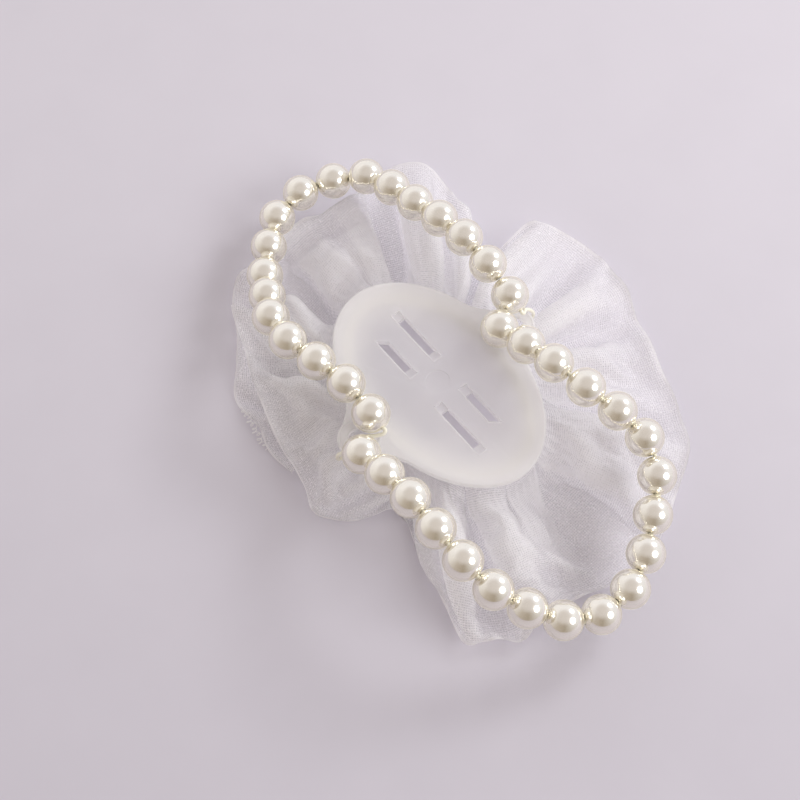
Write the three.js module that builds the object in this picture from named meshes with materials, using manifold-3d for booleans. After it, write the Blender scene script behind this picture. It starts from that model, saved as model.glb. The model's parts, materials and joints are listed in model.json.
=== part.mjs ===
// Wrist corsage base: a moulded oval plate with a gathered organza ruffle fixed to its flower side
// and one elastic loop of pearls, which the plate's two ears divide into two strands for the wrist.
// Units are millimetres. The origin is the middle of the plate's flower-side face. +Z points to the
// wrist, +X runs along the plate and +Y runs from ear 1 to ear 2.

import * as THREE from 'three';
import { mergeVertices } from 'three/addons/utils/BufferGeometryUtils.js';
import Module from 'manifold-3d';

// Plate
const PLATE_LENGTH = 54.5;
const PLATE_WIDTH = 35.8;
const PLATE_THICKNESS = 1.7;
const PAD_HEIGHT = 0.3;
const EDGE_ROUND = 0.4;
const RIM_WIDTH = 1;
const DISH_DEPTH = 0.3;
const EAR_SPACING = 41.8;
const EAR_RADIUS = 4.5;
const EAR_HOLE_RADIUS = 2.3;
const EAR_FILLET = 12;
const GATE_RADIUS = 2.6;
const GATE_DEPTH = 0.2;

// Ribbon slots: two pairs, each of a long slot and a short one with a slanted end
const SLOT_WIDTH = 2;
const SLOT_START = 4.2;
const LONG_SLOT_LENGTH = 14;
const LONG_SLOT_OFFSET = 3.4;
const SHORT_SLOT_LENGTH = 11.5;
const SHORT_SLOT_OFFSET = -3.1;
const SLOT_STEP_LENGTH = 1.9;
const SLOT_STEP_DEPTH = 0.5;

// Pearls and elastic
const PEARL_DIAMETER = 8;
const PEARL_GAP = 0.12;
const CORD_DIAMETER = 0.8;
const BORE_CLEARANCE = 0.35;
const SEAT_GAP = 0.3;
const STRAND_A_PEARLS = 18;
const STRAND_B_PEARLS = 19;
const KNOT_LENGTH = 2;
const KNOT_RADIUS = 1.1;
const KNOT_CLEARANCE = 0.2;
const KNOT_END_WALL = 0.15;

// The elastic's way: the share of a pearl's radius over which it stays straight, the shares of the
// bore's direction and the ear's direction in its turn round an ear pearl, and where it passes under
// the bar as a share of the hole's radius
const STRAIGHT_SHARE = 0.97;
const HUG_SHARES = [[1, 0], [0.85, 0.53], [0.45, 0.9]];
const BAR_START = 0.6;

// Ruffle
const STAND_HEIGHT = 13;
const RUFFLE_REACH = 62;
const RUFFLE_THICKNESS = 1;
const GATHER_INSET = 2;
const HEADER_WIDTH = 2.5;
const GLUE_THICKNESS = 1.3;
const LAYER_GAP = 0.2;
const THREAD_DIAMETER = 0.5;

// Facets
const PEARL_SEGMENTS = 12;
const PEARL_ARC_STEPS = 7;
const CORD_SIDES = 8;
const CORD_STEPS_PER_EAR = 26;
const ELLIPSE_SEGMENTS = 24;
const RUFFLE_SPAN_STEPS = 2;
const RUFFLE_ROWS = 5;
const OVAL_STEPS = 12;
const FILLET_STEPS = 4;
const EAR_STEPS = 7;
const HOLE_SEGMENTS = 9;
const GATE_SEGMENTS = 10;
const KNOT_STEPS = 6;
const ROUTE_SAMPLES = 1200;
const SOLVER_STEPS = 45;

// Where the ear pearls sit, in pearl pitches from the ear's hole, seen with the plate towards +y
const EAR_1_PEARLS = { inner: [-0.14, 0.5], outer: [0.59, -0.385] };
const EAR_2_PEARLS = { inner: [-0.055, 0.575], outer: [0.53, -0.29] };

// Strand routes between their ear pearls, as the loop lies open beside the plate
const STRAND_A_ROUTE = [
  [-9.2, -16.7, 7.2], [-25.1, -19.5, 6.3], [-32.7, -18.3, 4.2], [-39.3, -14.6, 0.7],
  [-45.6, -10.8, -2.7], [-51.5, -5.3, -3.6], [-56.4, 0.7, -4], [-58, 8.5, -3.4],
  [-56, 16.4, -3.6], [-50.7, 21.6, -0.8], [-35.7, 23.2, 4.5], [-20.3, 23.8, 8.6], [-12.2, 23.5, 8.4],
];
const STRAND_B_ROUTE = [
  [8.1, 16.4, 9.1], [15.7, 16.9, 11.6], [23.3, 18.4, 10.9], [30.3, 21.1, 7.7], [36.9, 23, 3.6],
  [43.6, 20.4, 1.2], [49, 14.5, -0.4], [53.9, 8.2, -1.6], [57.3, 1, -1.9], [57.7, -6.9, -1.5],
  [54.4, -14, 0.4], [48.8, -19, 4.1], [42.9, -22.6, 8], [36.3, -24.1, 11.2], [28.2, -24.1, 11.8],
  [20, -23.7, 11.4], [12.3, -23.8, 9.2],
];

// Folds of the ruffle, anticlockwise seen from the wrist: angle in degrees round the plate, reach of
// the free edge as a share of the longest, and the lift above the table of the free edge and half-way
// in as shares of the height at which the plate stands
const RUFFLE_FOLDS = [
  [6, 0.87, 0.15, 0.04], [17, 0.89, 0.27, 0.42], [28, 0.87, 0.31, 0.69], [36, 0.87, 0.31, 0.36],
  [43, 0.86, 0.35, 0.62], [53, 0.83, 0.15, 0.06], [67, 0.79, 0.31, 0.65], [76, 0.81, 0.25, 0.30],
  [86, 0.81, 0.46, 0.77], [98, 0.86, 0.15, 0.12], [107, 0.85, 0.35, 0.50], [115, 0.81, 0.38, 0.77],
  [123, 0.67, 0.15, 0.09], [131, 0.76, 0.31, 0.63], [137, 0.89, 0.21, 0.24],
  [144, 1.00, 0.38, 0.75], [154, 0.99, 0.05, 0.05], [163, 0.89, 0.38, 0.69],
  [171, 0.89, 0.28, 0.71], [178, 0.88, 0.33, 0.31], [186, 0.89, 0.23, 0.05],
  [195, 0.88, 0.22, 0.46], [203, 0.82, 0.23, 0.35], [212, 0.73, 0.35, 0.52],
  [218, 0.68, 0.33, 0.39], [224.5, 0.64, 0.38, 0.66], [233, 0.60, 0.38, 0.46],
  [243, 0.57, 0.42, 0.73], [255, 0.55, 0.34, 0.52], [267, 0.55, 0.25, 0.65],
  [282, 0.53, 0.11, 0.23], [294, 0.45, 0.15, 0.46], [306, 0.39, 0.05, 0.12],
  [316, 0.62, 0.08, 0.46], [323, 0.81, 0.28, 0.88], [334, 0.86, 0.27, 0.09],
  [345, 0.83, 0.42, 0.77], [355, 0.84, 0.19, 0.31],
];

// Derived sizes
const PEARL_RADIUS = PEARL_DIAMETER / 2;
const PEARL_PITCH = PEARL_DIAMETER + PEARL_GAP;
const CORD_RADIUS = CORD_DIAMETER / 2;
const BORE_RADIUS = CORD_RADIUS + BORE_CLEARANCE;
const EAR_PEARL_HEIGHT = PLATE_THICKNESS + SEAT_GAP + PEARL_RADIUS;
const DISH_FLOOR = PLATE_THICKNESS - DISH_DEPTH;
const CUT_MARGIN = 1;
const TABLE_SIZE = 400;
const GATHER_X = PLATE_LENGTH / 2 - GATHER_INSET;
const GATHER_Y = PLATE_WIDTH / 2 - GATHER_INSET;
const PAD_X = GATHER_X - HEADER_WIDTH - SEAT_GAP;
const PAD_Y = GATHER_Y - HEADER_WIDTH - SEAT_GAP;
const HEADER_HEIGHT = -(LAYER_GAP + GLUE_THICKNESS + LAYER_GAP + RUFFLE_THICKNESS / 2);
const UNDER_EAR_HEIGHT = -(SEAT_GAP + KNOT_RADIUS);

const UP = new THREE.Vector3(0, 0, 1);
const LATHE_AXIS = new THREE.Vector3(0, 1, 0);
const wasm = await Module();
wasm.setup();

const MATERIALS = {
  plate: { color: 0xd9d6d6, roughness: 0.45, metalness: 0 },
  pearl: { color: 0xece6d2, roughness: 0.2, metalness: 0.1 },
  elastic: { color: 0xe9e4c8, roughness: 0.35, metalness: 0 },
  organza: { color: 0xe6e2e6, roughness: 0.6, metalness: 0 },
  thread: { color: 0xf0eef0, roughness: 0.7, metalness: 0 },
  glue: { color: 0xe4dfcf, roughness: 0.5, metalness: 0 },
};

const corsage = new THREE.Group();

function addPiece(name, geometry, finish) {
  const mesh = new THREE.Mesh(geometry, new THREE.MeshStandardMaterial(MATERIALS[finish]));
  mesh.name = name;
  corsage.add(mesh);
  return mesh;
}

// Boolean helpers
function toSolid(geometry) {
  const bare = geometry.clone();
  bare.deleteAttribute('normal');
  bare.deleteAttribute('uv');
  const merged = mergeVertices(bare, 1e-4);
  const vertProperties = new Float32Array(merged.attributes.position.array);
  const triVerts = new Uint32Array(merged.index.array);
  return new wasm.Manifold(new wasm.Mesh({ numProp: 3, vertProperties, triVerts }));
}

function toGeometry(solid) {
  const mesh = solid.getMesh();
  const geometry = new THREE.BufferGeometry();
  geometry.setAttribute('position', new THREE.BufferAttribute(mesh.vertProperties, 3));
  geometry.setIndex(new THREE.BufferAttribute(mesh.triVerts, 1));
  geometry.computeVertexNormals();
  return geometry;
}

function indexedGeometry(points, triangles) {
  const geometry = new THREE.BufferGeometry();
  geometry.setAttribute('position', new THREE.Float32BufferAttribute(points.flatMap((p) => p.toArray()), 3));
  geometry.setIndex(triangles.flat());
  geometry.computeVertexNormals();
  return geometry;
}

// Flat outlines
function ellipsePoint(radiusX, radiusY, angle) {
  return new THREE.Vector2(radiusX * Math.cos(angle), radiusY * Math.sin(angle));
}

function ellipsePath(radiusX, radiusY) {
  const path = new THREE.Shape();
  path.absellipse(0, 0, radiusX, radiusY, 0, 2 * Math.PI, false, 0);
  return path;
}

function prism(shape, bottom, top, segments) {
  const options = { depth: top - bottom, bevelEnabled: false, curveSegments: segments };
  return new THREE.ExtrudeGeometry(shape, options).translate(0, 0, bottom);
}

function polygon(corners) {
  return new THREE.Shape(corners.map(([x, y]) => new THREE.Vector2(x, y)));
}

// The oval's parameter where a fillet circle touches both the oval and the ear
function filletTouch(radiusX, radiusY, earY) {
  let low = 0;
  let high = Math.PI / 2;
  for (let i = 0; i < SOLVER_STEPS; i += 1) {
    const middle = (low + high) / 2;
    const centre = filletCentre(radiusX, radiusY, middle);
    const apart = Math.hypot(centre.x, centre.y - earY);
    if (apart > EAR_RADIUS + EAR_FILLET) {
      low = middle;
    } else {
      high = middle;
    }
  }
  return low;
}

function filletCentre(radiusX, radiusY, angle) {
  const touch = ellipsePoint(radiusX, radiusY, angle);
  const outward = new THREE.Vector2(Math.cos(angle) / radiusX, Math.sin(angle) / radiusY).normalize();
  return touch.addScaledVector(outward, EAR_FILLET);
}

// One quarter of the plate's outline, from the end of the oval to the tip of ear 2
function plateQuarter() {
  const radiusX = PLATE_LENGTH / 2;
  const radiusY = PLATE_WIDTH / 2;
  const earY = EAR_SPACING / 2;
  const touch = filletTouch(radiusX, radiusY, earY);
  const points = [];
  for (let i = 0; i < OVAL_STEPS; i += 1) {
    points.push(ellipsePoint(radiusX, radiusY, (touch * i) / OVAL_STEPS));
  }
  const centre = filletCentre(radiusX, radiusY, touch);
  const fromOval = ellipsePoint(radiusX, radiusY, touch).sub(centre).angle();
  const fromEar = new THREE.Vector2(0, earY).sub(centre).angle();
  for (let i = 0; i < FILLET_STEPS; i += 1) {
    const angle = fromOval + ((fromEar - fromOval) * i) / FILLET_STEPS;
    points.push(new THREE.Vector2(EAR_FILLET, 0).rotateAround(new THREE.Vector2(), angle).add(centre));
  }
  const earStart = fromEar - Math.PI;
  for (let i = 0; i <= EAR_STEPS; i += 1) {
    const angle = earStart + ((Math.PI / 2 - earStart) * i) / EAR_STEPS;
    points.push(new THREE.Vector2(EAR_RADIUS * Math.cos(angle), earY + EAR_RADIUS * Math.sin(angle)));
  }
  return points;
}

function plateOutline() {
  const quarter = plateQuarter();
  const mirrored = quarter.slice(0, -1).reverse().map((p) => new THREE.Vector2(-p.x, p.y));
  const half = quarter.concat(mirrored);
  const otherHalf = half.slice(1, -1).map((p) => new THREE.Vector2(-p.x, -p.y));
  return new THREE.Shape(half.concat(otherHalf));
}

// Slots of one pair, on the +X side; the other pair is the same turned half round
function slotCutters() {
  const halfWidth = SLOT_WIDTH / 2;
  const outer = { length: LONG_SLOT_LENGTH, y: -LONG_SLOT_OFFSET, slant: 0 };
  const inner = { length: SHORT_SLOT_LENGTH, y: -SHORT_SLOT_OFFSET, slant: SLOT_WIDTH };
  return [outer, inner].flatMap(({ length, y, slant }) => {
    const end = SLOT_START + length;
    const throughEnd = slant ? end : end - SLOT_STEP_LENGTH;
    const step = polygon([
      [SLOT_START, y - halfWidth], [end - slant, y - halfWidth], [end, y - halfWidth + slant],
      [end, y + halfWidth], [SLOT_START, y + halfWidth],
    ].filter((corner, i) => slant || i !== 2));
    const through = polygon([
      [SLOT_START + SLOT_STEP_LENGTH, y - halfWidth], [throughEnd - slant, y - halfWidth],
      [throughEnd, y + halfWidth], [SLOT_START + SLOT_STEP_LENGTH, y + halfWidth],
    ]);
    return [
      prism(step, DISH_FLOOR - SLOT_STEP_DEPTH, PLATE_THICKNESS + CUT_MARGIN, 1),
      prism(through, -CUT_MARGIN, PLATE_THICKNESS + CUT_MARGIN, 1),
    ];
  });
}

function basePlate() {
  const outline = plateOutline();
  [-1, 1].forEach((side) => {
    const hole = new THREE.Path();
    hole.absarc(0, (side * EAR_SPACING) / 2, EAR_HOLE_RADIUS, 0, 2 * Math.PI, true);
    outline.holes.push(hole);
  });
  const slab = new THREE.ExtrudeGeometry(outline, {
    depth: PLATE_THICKNESS - PAD_HEIGHT - 2 * EDGE_ROUND,
    bevelThickness: EDGE_ROUND,
    bevelSize: EDGE_ROUND,
    bevelOffset: -EDGE_ROUND,
    bevelSegments: 2,
    curveSegments: HOLE_SEGMENTS,
  }).translate(0, 0, PAD_HEIGHT + EDGE_ROUND);
  const pad = prism(ellipsePath(PAD_X, PAD_Y), 0, PAD_HEIGHT + EDGE_ROUND, ELLIPSE_SEGMENTS);
  const dishShape = ellipsePath(PLATE_LENGTH / 2 - RIM_WIDTH, PLATE_WIDTH / 2 - RIM_WIDTH);
  const dish = prism(dishShape, DISH_FLOOR, PLATE_THICKNESS + CUT_MARGIN, ELLIPSE_SEGMENTS);
  const gateShape = ellipsePath(GATE_RADIUS, GATE_RADIUS);
  const gate = prism(gateShape, DISH_FLOOR - GATE_DEPTH, PLATE_THICKNESS + CUT_MARGIN, GATE_SEGMENTS);
  const slots = slotCutters();
  const turnedSlots = slots.map((cutter) => cutter.clone().rotateZ(Math.PI));
  const cutters = [dish, gate, ...slots, ...turnedSlots];
  const blank = toSolid(slab).add(toSolid(pad));
  return toGeometry(cutters.reduce((body, cutter) => body.subtract(toSolid(cutter)), blank));
}

// Round section swept along points, closed on itself or capped at both ends
function sweptCord(points, radius, sides, closed) {
  const count = points.length;
  const tangents = points.map((p, i) => {
    const before = points[closed ? (i + count - 1) % count : Math.max(i - 1, 0)];
    const after = points[closed ? (i + 1) % count : Math.min(i + 1, count - 1)];
    return after.clone().sub(before).normalize();
  });
  let normal = new THREE.Vector3().crossVectors(tangents[0], UP);
  if (normal.lengthSq() < 1e-6) {
    normal = new THREE.Vector3(1, 0, 0);
  }
  const vertices = [];
  points.forEach((p, i) => {
    normal.addScaledVector(tangents[i], -normal.dot(tangents[i])).normalize();
    const binormal = new THREE.Vector3().crossVectors(tangents[i], normal);
    for (let k = 0; k < sides; k += 1) {
      const angle = (2 * Math.PI * k) / sides;
      const rim = p.clone().addScaledVector(normal, radius * Math.cos(angle));
      vertices.push(rim.addScaledVector(binormal, radius * Math.sin(angle)));
    }
  });
  const triangles = [];
  const rings = closed ? count : count - 1;
  for (let i = 0; i < rings; i += 1) {
    for (let k = 0; k < sides; k += 1) {
      const here = i * sides;
      const next = ((i + 1) % count) * sides;
      const side = (k + 1) % sides;
      triangles.push([here + k, here + side, next + side], [here + k, next + side, next + k]);
    }
  }
  if (!closed) {
    const last = (count - 1) * sides;
    for (let k = 1; k < sides - 1; k += 1) {
      triangles.push([0, k + 1, k], [last, last + k, last + k + 1]);
    }
  }
  return indexedGeometry(vertices, triangles);
}

// Pearls
function pearlGeometry() {
  const mouth = Math.asin(BORE_RADIUS / PEARL_RADIUS);
  const profile = [];
  for (let i = 0; i <= PEARL_ARC_STEPS; i += 1) {
    const angle = Math.PI - mouth - ((Math.PI - 2 * mouth) * i) / PEARL_ARC_STEPS;
    profile.push(new THREE.Vector2(PEARL_RADIUS * Math.sin(angle), PEARL_RADIUS * Math.cos(angle)));
  }
  profile.push(profile[0].clone());
  return new THREE.LatheGeometry(profile, PEARL_SEGMENTS);
}

// Centres along a curve, each one pitch from the last; fewer come back where the curve is too short
function chordMarch(curve, count) {
  const samples = curve.getPoints(ROUTE_SAMPLES);
  const centres = [samples[0]];
  for (let i = 1; i < samples.length && centres.length < count; i += 1) {
    const last = centres[centres.length - 1];
    const reach = samples[i].distanceTo(last);
    if (reach >= PEARL_PITCH) {
      const before = samples[i - 1].distanceTo(last);
      const share = (PEARL_PITCH - before) / (reach - before);
      centres.push(samples[i - 1].clone().lerp(samples[i], share));
    }
  }
  return centres;
}

// A strand's pearl centres: its route opens or closes about the ears until the pearls just fill it
function strandCentres(start, end, route, count) {
  const middle = start.clone().add(end).multiplyScalar(0.5);
  const scaledCurve = (scale) => {
    const inner = route.map((p) => new THREE.Vector3(...p).sub(middle).multiplyScalar(scale).add(middle));
    return new THREE.CatmullRomCurve3([start, ...inner, end]);
  };
  let low = 0.5;
  let high = 2;
  for (let i = 0; i < SOLVER_STEPS; i += 1) {
    const scale = (low + high) / 2;
    if (chordMarch(scaledCurve(scale), count).length < count) {
      low = scale;
    } else {
      high = scale;
    }
  }
  return chordMarch(scaledCurve(high), count);
}

function strandAxes(centres) {
  return centres.map((p, i) => {
    const before = centres[Math.max(i - 1, 0)];
    const after = centres[Math.min(i + 1, centres.length - 1)];
    return after.clone().sub(before).normalize();
  });
}

// An ear's own frame: its hole is the origin and the plate lies towards +y
function earFrame(ear) {
  const turn = new THREE.Matrix4();
  if (ear === 2) {
    turn.makeRotationZ(Math.PI);
  }
  return turn.multiply(new THREE.Matrix4().makeTranslation(0, -EAR_SPACING / 2, 0));
}

function earPearl(ear, [x, y]) {
  const local = new THREE.Vector3(x * PEARL_PITCH, y * PEARL_PITCH, EAR_PEARL_HEIGHT);
  return local.applyMatrix4(earFrame(ear));
}

function makeStrand(letter, start, end, route, count) {
  const centres = strandCentres(start, end, route, count);
  const axes = strandAxes(centres);
  centres.forEach((centre, i) => {
    const number = String(i + 1).padStart(2, '0');
    const pearl = addPiece(`pearl_${letter}${number}`, pearlGeometry(), 'pearl');
    pearl.position.copy(centre);
    pearl.quaternion.setFromUnitVectors(LATHE_AXIS, axes[i]);
  });
  return { centres, axes };
}

// The elastic runs straight through every bore and bends between the pearls
function strandElastic({ centres, axes }) {
  const inBore = PEARL_RADIUS * STRAIGHT_SHARE;
  return centres.slice(1, -1).flatMap((centre, i) => {
    const axis = axes[i + 1];
    return [
      centre.clone().addScaledVector(axis, -inBore),
      centre.clone().addScaledVector(axis, inBore),
    ];
  });
}

// The stretch of elastic under an ear's outer bar, in the ear's frame
function underBar() {
  const inside = -EAR_HOLE_RADIUS * BAR_START;
  const outside = -(EAR_RADIUS + SEAT_GAP + CORD_RADIUS);
  return [inside, (inside + outside) / 2, outside].map((y) => new THREE.Vector3(0, y, UNDER_EAR_HEIGHT));
}

// Points that lead the elastic out of an ear pearl and round it towards an aim
function roundPearl({ centre, axis, towardsEar }, aim) {
  const out = axis.clone().multiplyScalar(towardsEar);
  const side = aim.clone().sub(centre).normalize();
  const reach = PEARL_RADIUS + SEAT_GAP + CORD_RADIUS;
  return HUG_SHARES.map(([along, across]) => {
    const lean = out.clone().multiplyScalar(along).addScaledVector(side, across).normalize();
    return centre.clone().addScaledVector(lean, reach);
  });
}

// At an ear the elastic leaves the inner pearl, dips through the hole, passes under the outer bar and
// comes up round the ear's tip into the outer pearl
function earElastic(ear, inner, outer) {
  const frame = earFrame(ear);
  const place = (x, y, z) => new THREE.Vector3(x, y, z).applyMatrix4(frame);
  const inBore = ({ centre, axis, towardsEar }, sign) => (
    centre.clone().addScaledVector(axis, sign * towardsEar * PEARL_RADIUS * STRAIGHT_SHARE)
  );
  const bar = underBar();
  const tip = bar[2].y;
  const curve = new THREE.CatmullRomCurve3([
    ...roundPearl(inner, place(0, 0, PLATE_THICKNESS + CORD_DIAMETER)),
    place(0, 0, PLATE_THICKNESS / 2),
    ...bar.map((p) => p.applyMatrix4(frame)),
    place(0, tip - CORD_RADIUS, PLATE_THICKNESS / 2),
    ...roundPearl(outer, place(0, tip, PLATE_THICKNESS)).reverse(),
  ], false, 'centripetal');
  return [
    inBore(inner, -1), inBore(inner, 1), ...curve.getSpacedPoints(CORD_STEPS_PER_EAR),
    inBore(outer, 1), inBore(outer, -1),
  ];
}

// Knot that closes the loop, on the elastic under ear 1
function knotGeometry() {
  const bore = CORD_RADIUS + KNOT_CLEARANCE;
  const ends = bore + KNOT_END_WALL;
  const profile = [];
  for (let i = 0; i <= KNOT_STEPS; i += 1) {
    const share = i / KNOT_STEPS;
    const radius = ends + (KNOT_RADIUS - ends) * Math.sin(Math.PI * share);
    profile.push(new THREE.Vector2(radius, (share - 0.5) * KNOT_LENGTH));
  }
  profile.push(new THREE.Vector2(bore, KNOT_LENGTH / 2), new THREE.Vector2(bore, -KNOT_LENGTH / 2));
  profile.push(profile[0].clone());
  return new THREE.LatheGeometry(profile, CORD_SIDES);
}

// Ruffle
function closedSpline(values, position) {
  const count = values.length;
  const i = Math.floor(position);
  const t = position - i;
  const [p0, p1, p2, p3] = [-1, 0, 1, 2].map((k) => values[(i + k + count) % count]);
  const linear = p2 - p0;
  const square = 2 * p0 - 5 * p1 + 4 * p2 - p3;
  const cube = 3 * p1 - p0 - 3 * p2 + p3;
  return 0.5 * (2 * p1 + linear * t + square * t * t + cube * t * t * t);
}

// Highest place of the cloth's middle under the pearls and under the elastic beneath the ears
function ruffleCeiling({ x, y }, pearls) {
  const room = SEAT_GAP + RUFFLE_THICKNESS;
  const earY = EAR_SPACING / 2;
  const underEar = Math.hypot(x, Math.abs(y) - earY) < EAR_RADIUS + room;
  const ceilings = [underEar ? UNDER_EAR_HEIGHT - KNOT_RADIUS - room : 0];
  const reach = PEARL_RADIUS + room;
  pearls.forEach((centre) => {
    const apart = Math.hypot(x - centre.x, y - centre.y);
    if (apart < reach) {
      ceilings.push(centre.z - Math.sqrt(reach * reach - apart * apart));
    }
  });
  return Math.min(...ceilings);
}

// Points from the header under the plate to the free edge, in one fold's direction
function ruffleColumn(position, pearls) {
  const count = RUFFLE_FOLDS.length;
  const columnOf = (k) => RUFFLE_FOLDS.map((fold) => fold[k]);
  const [offsets, reaches, edgeLifts, midLifts] = [0, 1, 2, 3].map(columnOf);
  const evenAngle = (360 * position) / count;
  const drift = offsets.map((angle, i) => angle - (360 * i) / count);
  const angle = THREE.MathUtils.degToRad(evenAngle + closedSpline(drift, position));
  const reach = RUFFLE_REACH * closedSpline(reaches, position);
  const edgeHeight = (closedSpline(edgeLifts, position) - 1) * STAND_HEIGHT;
  const midHeight = (closedSpline(midLifts, position) - 1) * STAND_HEIGHT;
  const along = Math.atan2(GATHER_X * Math.sin(angle), GATHER_Y * Math.cos(angle));
  const header = ellipsePoint(GATHER_X - HEADER_WIDTH, GATHER_Y - HEADER_WIDTH, along);
  const gather = ellipsePoint(GATHER_X, GATHER_Y, along);
  const edge = new THREE.Vector2(reach * Math.cos(angle), reach * Math.sin(angle));
  const lowest = RUFFLE_THICKNESS / 2 - STAND_HEIGHT;
  const column = [header, gather].map((p) => new THREE.Vector3(p.x, p.y, HEADER_HEIGHT));
  for (let row = 1; row < RUFFLE_ROWS; row += 1) {
    const v = row / (RUFFLE_ROWS - 1);
    const flat = gather.clone().lerp(edge, v);
    const nearPart = HEADER_HEIGHT * (1 - v) * (1 - 2 * v);
    const middlePart = midHeight * 4 * v * (1 - v);
    const farPart = edgeHeight * v * (2 * v - 1);
    const height = Math.min(nearPart + middlePart + farPart, ruffleCeiling(flat, pearls));
    column.push(new THREE.Vector3(flat.x, flat.y, Math.max(height, lowest)));
  }
  return column;
}

function ruffleGeometry(pearls) {
  const columnCount = RUFFLE_FOLDS.length * RUFFLE_SPAN_STEPS;
  const columns = [];
  for (let i = 0; i < columnCount; i += 1) {
    columns.push(ruffleColumn(i / RUFFLE_SPAN_STEPS, pearls));
  }
  const rows = columns[0].length;
  const normalAt = (i, j) => {
    const before = columns[(i + columnCount - 1) % columnCount][j];
    const across = columns[(i + 1) % columnCount][j].clone().sub(before);
    const inward = columns[i][Math.max(j - 1, 0)];
    const out = columns[i][Math.min(j + 1, rows - 1)].clone().sub(inward);
    return out.cross(across).normalize();
  };
  const vertices = [];
  [0.5, -0.5].forEach((side) => {
    columns.forEach((column, i) => column.forEach((p, j) => {
      vertices.push(p.clone().addScaledVector(normalAt(i, j), side * RUFFLE_THICKNESS));
    }));
  });
  const layer = columnCount * rows;
  const at = (side, i, j) => side * layer + (i % columnCount) * rows + j;
  const triangles = [];
  for (let i = 0; i < columnCount; i += 1) {
    for (let j = 0; j < rows - 1; j += 1) {
      triangles.push([at(0, i, j), at(0, i, j + 1), at(0, i + 1, j + 1)]);
      triangles.push([at(0, i, j), at(0, i + 1, j + 1), at(0, i + 1, j)]);
      triangles.push([at(1, i, j), at(1, i + 1, j + 1), at(1, i, j + 1)]);
      triangles.push([at(1, i, j), at(1, i + 1, j), at(1, i + 1, j + 1)]);
    }
    triangles.push([at(0, i, 0), at(0, i + 1, 0), at(1, i + 1, 0)]);
    triangles.push([at(0, i, 0), at(1, i + 1, 0), at(1, i, 0)]);
    const last = rows - 1;
    triangles.push([at(0, i, last), at(1, i, last), at(1, i + 1, last)]);
    triangles.push([at(0, i, last), at(1, i + 1, last), at(0, i + 1, last)]);
  }
  return indexedGeometry(vertices, triangles);
}

// The ruffle is cut level where it stands on the table
function organzaRuffle(pearls) {
  const table = new THREE.BoxGeometry(TABLE_SIZE, TABLE_SIZE, STAND_HEIGHT);
  table.translate(0, 0, -STAND_HEIGHT - STAND_HEIGHT / 2);
  return toGeometry(toSolid(ruffleGeometry(pearls)).subtract(toSolid(table)));
}

function gluedBand() {
  const band = ellipsePath(GATHER_X, GATHER_Y);
  band.holes.push(ellipsePath(GATHER_X - HEADER_WIDTH, GATHER_Y - HEADER_WIDTH));
  return prism(band, -LAYER_GAP - GLUE_THICKNESS, PAD_HEIGHT - LAYER_GAP, ELLIPSE_SEGMENTS);
}

function gatheringThread() {
  const height = HEADER_HEIGHT - RUFFLE_THICKNESS / 2 - LAYER_GAP - THREAD_DIAMETER / 2;
  const points = [];
  const steps = 2 * ELLIPSE_SEGMENTS;
  for (let i = 0; i < steps; i += 1) {
    const angle = (2 * Math.PI * i) / steps;
    const flat = ellipsePoint(GATHER_X - HEADER_WIDTH / 2, GATHER_Y - HEADER_WIDTH / 2, angle);
    points.push(new THREE.Vector3(flat.x, flat.y, height));
  }
  return sweptCord(points, THREAD_DIAMETER / 2, CORD_SIDES - 2, true);
}

// Assembly
addPiece('base_plate', basePlate(), 'plate');
addPiece('glue_band', gluedBand(), 'glue');
addPiece('gathering_thread', gatheringThread(), 'thread');

const strandA = makeStrand(
  'a', earPearl(1, EAR_1_PEARLS.inner), earPearl(2, EAR_2_PEARLS.outer), STRAND_A_ROUTE, STRAND_A_PEARLS,
);
const strandB = makeStrand(
  'b', earPearl(2, EAR_2_PEARLS.inner), earPearl(1, EAR_1_PEARLS.outer), STRAND_B_ROUTE, STRAND_B_PEARLS,
);
addPiece('organza_ruffle', organzaRuffle([...strandA.centres, ...strandB.centres]), 'organza');
addPiece('elastic_strand_a', sweptCord(strandElastic(strandA), CORD_RADIUS, CORD_SIDES, false), 'elastic');
addPiece('elastic_strand_b', sweptCord(strandElastic(strandB), CORD_RADIUS, CORD_SIDES, false), 'elastic');

const firstOf = ({ centres, axes }) => ({ centre: centres[0], axis: axes[0], towardsEar: -1 });
const lastOf = ({ centres, axes }) => ({ centre: centres.at(-1), axis: axes.at(-1), towardsEar: 1 });
const earRoute1 = earElastic(1, firstOf(strandA), lastOf(strandB));
const earRoute2 = earElastic(2, firstOf(strandB), lastOf(strandA));
addPiece('elastic_ear_1', sweptCord(earRoute1, CORD_RADIUS, CORD_SIDES, false), 'elastic');
addPiece('elastic_ear_2', sweptCord(earRoute2, CORD_RADIUS, CORD_SIDES, false), 'elastic');

const knot = addPiece('elastic_knot', knotGeometry(), 'elastic');
knot.position.copy(underBar()[1].applyMatrix4(earFrame(1)));

export default corsage;
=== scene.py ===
import json
import math

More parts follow.
